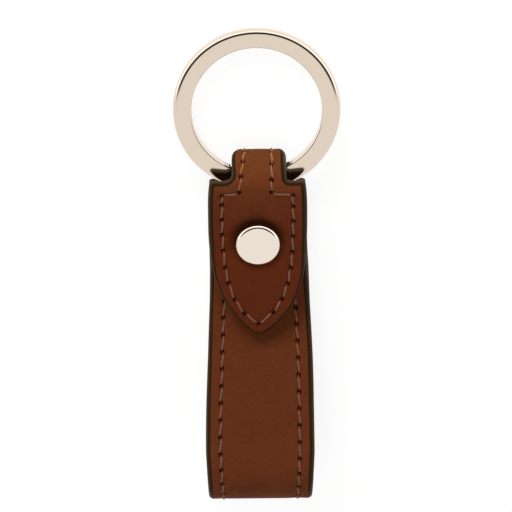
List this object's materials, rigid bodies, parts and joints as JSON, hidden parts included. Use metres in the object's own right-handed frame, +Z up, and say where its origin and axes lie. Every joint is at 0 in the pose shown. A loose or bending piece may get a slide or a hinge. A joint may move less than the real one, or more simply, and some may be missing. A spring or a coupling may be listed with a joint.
{
  "type": "key holder",
  "caption": "Folded leather strap loop with a pointed flap, a press stud and a flat split ring held in its narrow neck, for keys carried on a belt.",
  "frame": {"origin": "under the middle of the whole length and width, on the surface that the back panel lies on", "axes": "+Y along the strap towards the ring, +X across the strap, +Z up from the back panel to the flap"},
  "size_m": [0.035, 0.1058, 0.022],
  "materials": {
    "leather": "smooth brown leather with dark painted edges",
    "lining": "smooth brown lining leather",
    "thread": "matt brown sewing thread",
    "ring_metal": "polished nickel plate",
    "cap_metal": "polished nickel plate",
    "fitting_metal": "nickel plate",
    "spring_steel": "bright wire"
  },
  "bodies": {
    "strap": {"back_outer": "leather", "back_lining": "lining", "back_stitching_left": "thread", "back_stitching_right": "thread", "neck_outer": "leather", "neck_lining": "lining", "neck_stitching_left": "thread", "neck_stitching_right": "thread", "fold_outer": "leather", "fold_lining": "lining", "fold_stitching_left": "thread", "fold_stitching_right": "thread"},
    "flap": {"flap_outer": "leather", "flap_lining": "lining", "flap_stitching": "thread", "snap_cap": "cap_metal", "snap_socket": "fitting_metal", "socket_spring": "spring_steel"},
    "front_panel": {"front_outer": "leather", "front_lining": "lining", "front_stitching": "thread", "snap_stud": "fitting_metal", "snap_eyelet": "fitting_metal"},
    "ring": {"split_ring": "ring_metal"}
  },
  "joints": [
    {"name": "flap_open", "type": "hinge", "parent": "strap", "child": "flap", "pos_m": [0, 0.02345, 0.01052], "axis": [-1, 0, 0], "range_deg": [0, 90], "deforming": ["neck_outer", "neck_lining", "neck_stitching_left", "neck_stitching_right"]},
    {"name": "front_lift", "type": "hinge", "parent": "strap", "child": "front_panel", "pos_m": [0, -0.04192, 0.011], "axis": [1, 0, 0], "range_deg": [0, 13.5], "deforming": ["fold_outer", "fold_lining", "fold_stitching_left", "fold_stitching_right"]},
    {"name": "ring_swing", "type": "hinge", "parent": "strap", "child": "ring", "pos_m": [0, 0.02008, 0.0065], "axis": [1, 0, 0], "range_deg": [-90, 38]}
  ],
  "couplings": [
    {"joint": "front_lift", "follows": "flap_open", "ratio": 0.15}
  ]
}
